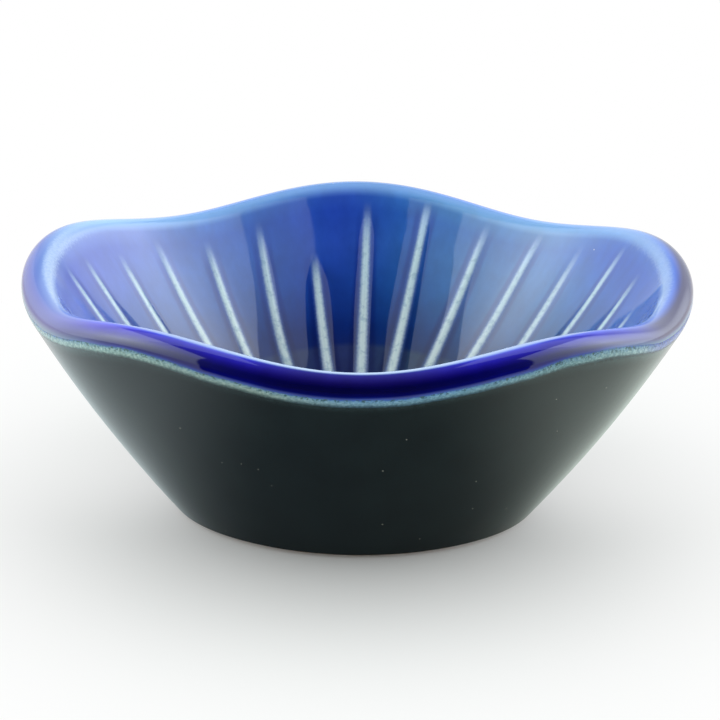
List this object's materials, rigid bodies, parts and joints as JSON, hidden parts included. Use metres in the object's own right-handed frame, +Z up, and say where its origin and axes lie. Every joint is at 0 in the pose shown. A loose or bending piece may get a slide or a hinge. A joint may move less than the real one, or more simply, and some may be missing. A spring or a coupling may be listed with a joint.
{
  "type": "pentagonal bowl",
  "caption": "Small five-lobed ceramic side-dish bowl with a rounded wavy lip, raised slip lines inside and a plain foot ring.",
  "frame": {"origin": "centre of the foot ring, on the surface that the bowl stands on", "axes": "+Z up through the mouth; +Y towards a rim corner; -Y towards the middle of a low side, which faces the picture's camera"},
  "size_m": [0.11, 0.1092, 0.0409],
  "materials": {
    "clay": "bare fired stoneware, fine and dry, warm brown",
    "cobalt_glaze": "thick glossy cobalt glaze, breaking to pale blue-white on the shoulder of the lip",
    "seam_glaze": "pale speckled band where the two glazes run together",
    "dark_glaze": "satin near-black green glaze with fine pits",
    "rib_slip": "cream slip showing through thin glaze, slightly grainy"
  },
  "bodies": {
    "root": {"clay_body": "clay", "inner_glaze": "cobalt_glaze", "glaze_seam": "seam_glaze", "outer_glaze": "dark_glaze", "foot_glaze": "dark_glaze", "rib_01": "rib_slip", "rib_02": "rib_slip", "rib_03": "rib_slip", "rib_04": "rib_slip", "rib_05": "rib_slip", "rib_06": "rib_slip", "rib_07": "rib_slip", "rib_08": "rib_slip", "rib_09": "rib_slip", "rib_10": "rib_slip", "rib_11": "rib_slip", "rib_12": "rib_slip", "rib_13": "rib_slip", "rib_14": "rib_slip", "rib_15": "rib_slip", "rib_16": "rib_slip", "rib_17": "rib_slip", "rib_18": "rib_slip", "rib_19": "rib_slip", "rib_20": "rib_slip", "rib_21": "rib_slip", "rib_22": "rib_slip", "rib_23": "rib_slip", "rib_24": "rib_slip", "rib_25": "rib_slip", "rib_26": "rib_slip", "rib_27": "rib_slip", "rib_28": "rib_slip", "rib_29": "rib_slip", "rib_30": "rib_slip"}
  },
  "joints": []
}
